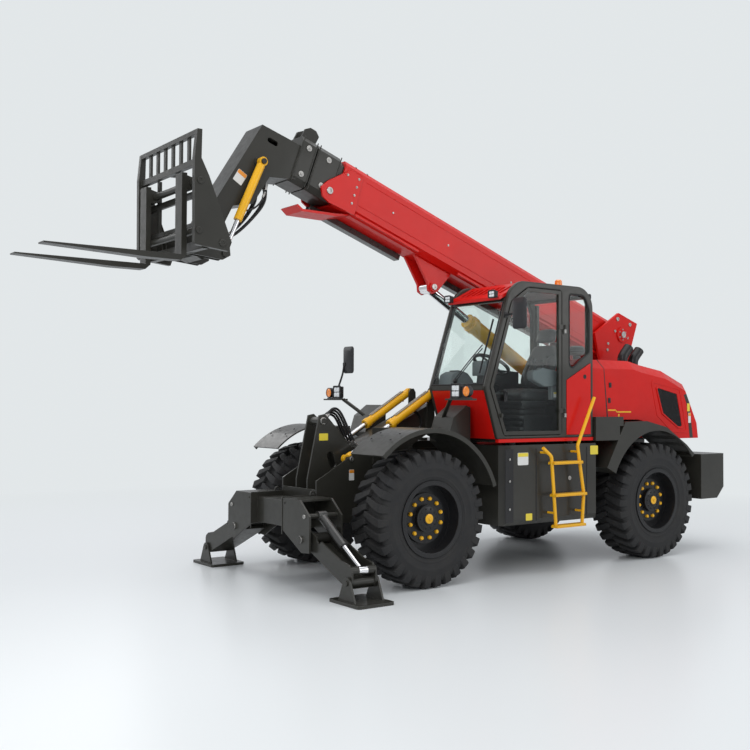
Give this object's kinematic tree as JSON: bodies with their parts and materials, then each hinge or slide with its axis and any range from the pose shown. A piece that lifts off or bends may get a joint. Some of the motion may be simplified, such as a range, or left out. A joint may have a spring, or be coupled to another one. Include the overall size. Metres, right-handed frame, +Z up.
{
  "type": "telehandler",
  "caption": "Telescopic handler with a sectioned boom, pallet forks on a tilting carriage, side cab, steered wheels on both axles and swing-down front stabilisers.",
  "frame": {"origin": "on the floor, below the middle of the overall length, on the machine's centre line", "axes": "+X forward towards the forks' tips, +Y to the machine's left (the cab side), +Z up"},
  "size_m": [8.2, 3.12, 4.4768],
  "materials": {
    "dark_steel": "satin warm dark grey paint",
    "axle_black": "satin black paint",
    "rim_black": "satin black paint",
    "tyre": "matt charcoal rubber",
    "red_paint": "glossy red paint",
    "yellow_paint": "glossy yellow paint",
    "cylinder_grey": "satin grey paint",
    "chrome": "polished chrome",
    "clear_glass": "clear tinted glass",
    "seat_fabric": "dark grained vinyl",
    "black_plastic": "matt black plastic"
  },
  "bodies": {
    "chassis": {"chassis_frame": "dark_steel", "front_axle": "axle_black", "rear_axle": "axle_black", "counterweight": "dark_steel", "side_boxes": "dark_steel", "ladder": "yellow_paint", "front_fenders": "dark_steel", "rear_fenders": "dark_steel", "nose_tower": "dark_steel", "stabiliser_box": "dark_steel", "boom_tower": "red_paint", "levelling_cylinders": "yellow_paint", "hood": "red_paint", "right_cover": "red_paint", "engine_block": "axle_black", "exhausts": "black_plastic", "cab_frame": "dark_steel", "cab_panels": "red_paint", "cab_roof": "red_paint", "cab_glass": "clear_glass", "chair_base": "black_plastic", "chair_cushion": "seat_fabric", "chair_back": "seat_fabric", "cab_interior": "black_plastic", "lamps_mirrors": "black_plastic"},
    "door": {"door_frame": "dark_steel", "door_pane": "clear_glass"},
    "knuckle_front_left": {"knuckle_front_left": "axle_black"},
    "wheel_front_left": {"rim_front_left": "rim_black", "tyre_front_left": "tyre"},
    "knuckle_front_right": {"knuckle_front_right": "axle_black"},
    "wheel_front_right": {"rim_front_right": "rim_black", "tyre_front_right": "tyre"},
    "knuckle_rear_left": {"knuckle_rear_left": "axle_black"},
    "wheel_rear_left": {"rim_rear_left": "rim_black", "tyre_rear_left": "tyre"},
    "knuckle_rear_right": {"knuckle_rear_right": "axle_black"},
    "wheel_rear_right": {"rim_rear_right": "rim_black", "tyre_rear_right": "tyre"},
    "boom": {"boom_outer": "red_paint"},
    "stage_2": {"boom_stage_2": "dark_steel"},
    "stage_3": {"boom_stage_3": "dark_steel"},
    "carriage": {"carriage": "dark_steel", "forks": "dark_steel"},
    "lift_barrel": {"lift_barrel": "yellow_paint"},
    "lift_rod": {"lift_rod": "chrome"},
    "tilt_barrels": {"tilt_barrels": "yellow_paint"},
    "tilt_rods": {"tilt_rods": "chrome"},
    "leg_left": {"leg_left": "dark_steel"},
    "foot_left": {"foot_left": "dark_steel"},
    "leg_barrel_left": {"leg_barrel_left": "cylinder_grey"},
    "leg_rod_left": {"leg_rod_left": "chrome"},
    "leg_right": {"leg_right": "dark_steel"},
    "foot_right": {"foot_right": "dark_steel"},
    "leg_barrel_right": {"leg_barrel_right": "cylinder_grey"},
    "leg_rod_right": {"leg_rod_right": "chrome"}
  },
  "joints": [
    {"name": "door_hinge", "type": "hinge", "parent": "chassis", "child": "door", "pos_m": [-1.15, 1.164, 2], "axis": [0, 0, 1], "range_deg": [0, 85]},
    {"name": "steer_front_left", "type": "hinge", "parent": "chassis", "child": "knuckle_front_left", "pos_m": [0.65, 0.79, 0.65], "axis": [0, 0, 1], "range_deg": [-35, 35]},
    {"name": "spin_front_left", "type": "hinge", "parent": "knuckle_front_left", "child": "wheel_front_left", "pos_m": [0.65, 0.96, 0.65], "axis": [0, 1, 0], "continuous": true},
    {"name": "steer_front_right", "type": "hinge", "parent": "chassis", "child": "knuckle_front_right", "pos_m": [0.65, -0.79, 0.65], "axis": [0, 0, 1], "range_deg": [-35, 35]},
    {"name": "spin_front_right", "type": "hinge", "parent": "knuckle_front_right", "child": "wheel_front_right", "pos_m": [0.65, -0.96, 0.65], "axis": [0, 1, 0], "continuous": true},
    {"name": "steer_rear_left", "type": "hinge", "parent": "chassis", "child": "knuckle_rear_left", "pos_m": [-2.65, 0.79, 0.65], "axis": [0, 0, 1], "range_deg": [-35, 35]},
    {"name": "spin_rear_left", "type": "hinge", "parent": "knuckle_rear_left", "child": "wheel_rear_left", "pos_m": [-2.65, 0.96, 0.65], "axis": [0, 1, 0], "continuous": true},
    {"name": "steer_rear_right", "type": "hinge", "parent": "chassis", "child": "knuckle_rear_right", "pos_m": [-2.65, -0.79, 0.65], "axis": [0, 0, 1], "range_deg": [-35, 35]},
    {"name": "spin_rear_right", "type": "hinge", "parent": "knuckle_rear_right", "child": "wheel_rear_right", "pos_m": [-2.65, -0.96, 0.65], "axis": [0, 1, 0], "continuous": true},
    {"name": "boom_lift", "type": "hinge", "parent": "chassis", "child": "boom", "pos_m": [-3.15, 0, 2.6], "axis": [0, -1, 0], "range_deg": [-22, 42]},
    {"name": "stage_2_slide", "type": "slide", "parent": "boom", "child": "stage_2", "axis": [0.9426, 0, 0.3338], "range_m": [0, 2.8]},
    {"name": "stage_3_slide", "type": "slide", "parent": "stage_2", "child": "stage_3", "axis": [0.9426, 0, 0.3338], "range_m": [0, 2.8]},
    {"name": "carriage_tilt", "type": "hinge", "parent": "stage_3", "child": "carriage", "pos_m": [2.56, 0, 3.14], "axis": [0, -1, 0], "range_deg": [-55, 12]},
    {"name": "lift_barrel_pivot", "type": "hinge", "parent": "chassis", "child": "lift_barrel", "pos_m": [-2.6, 0, 1.65], "axis": [0, -1, 0], "range_deg": [-21, 40]},
    {"name": "lift_rod_slide", "type": "slide", "parent": "lift_barrel", "child": "lift_rod", "axis": [0.8692, 0, 0.4944], "range_m": [-0.41, 0.78]},
    {"name": "tilt_barrel_pivot", "type": "hinge", "parent": "stage_3", "child": "tilt_barrels", "pos_m": [1.965, 0, 4.02], "axis": [0, -1, 0], "range_deg": [-2, 6]},
    {"name": "tilt_rod_slide", "type": "slide", "parent": "tilt_barrels", "child": "tilt_rods", "axis": [0.4079, 0, -0.913], "range_m": [-0.14, 0.035]},
    {"name": "leg_swing_left", "type": "hinge", "parent": "chassis", "child": "leg_left", "pos_m": [1.585, 0.63, 0.486], "axis": [1, 0, 0], "range_deg": [0, 70]},
    {"name": "foot_swivel_left", "type": "hinge", "parent": "leg_left", "child": "foot_left", "pos_m": [1.585, 1.325, 0.185], "axis": [1, 0, 0], "range_deg": [-30, 30]},
    {"name": "leg_barrel_pivot_left", "type": "hinge", "parent": "chassis", "child": "leg_barrel_left", "pos_m": [1.585, 0.69, 0.7], "axis": [1, 0, 0], "range_deg": [0, 77]},
    {"name": "leg_rod_slide_left", "type": "slide", "parent": "leg_barrel_left", "child": "leg_rod_left", "axis": [0, 0.839, -0.5441], "range_m": [-0.257, 0]},
    {"name": "leg_swing_right", "type": "hinge", "parent": "chassis", "child": "leg_right", "pos_m": [1.585, -0.63, 0.486], "axis": [-1, 0, 0], "range_deg": [0, 70]},
    {"name": "foot_swivel_right", "type": "hinge", "parent": "leg_right", "child": "foot_right", "pos_m": [1.585, -1.325, 0.185], "axis": [-1, 0, 0], "range_deg": [-30, 30]},
    {"name": "leg_barrel_pivot_right", "type": "hinge", "parent": "chassis", "child": "leg_barrel_right", "pos_m": [1.585, -0.69, 0.7], "axis": [-1, 0, 0], "range_deg": [0, 77]},
    {"name": "leg_rod_slide_right", "type": "slide", "parent": "leg_barrel_right", "child": "leg_rod_right", "axis": [0, -0.839, -0.5441], "range_m": [-0.257, 0]}
  ],
  "couplings": [
    {"joint": "steer_front_right", "follows": "steer_front_left", "ratio": 1},
    {"joint": "steer_rear_right", "follows": "steer_rear_left", "ratio": 1},
    {"joint": "stage_3_slide", "follows": "stage_2_slide", "ratio": 1},
    {"joint": "lift_barrel_pivot", "follows": "boom_lift", "ratio": 0.93},
    {"joint": "lift_rod_slide", "follows": "boom_lift", "m_per_rad": 1.04},
    {"joint": "tilt_barrel_pivot", "follows": "carriage_tilt", "ratio": -0.1},
    {"joint": "tilt_rod_slide", "follows": "carriage_tilt", "m_per_rad": 0.14},
    {"joint": "leg_barrel_pivot_left", "follows": "leg_swing_left", "ratio": 1.075},
    {"joint": "leg_rod_slide_left", "follows": "leg_swing_left", "m_per_rad": -0.202},
    {"joint": "leg_barrel_pivot_right", "follows": "leg_swing_right", "ratio": 1.075},
    {"joint": "leg_rod_slide_right", "follows": "leg_swing_right", "m_per_rad": -0.202}
  ]
}
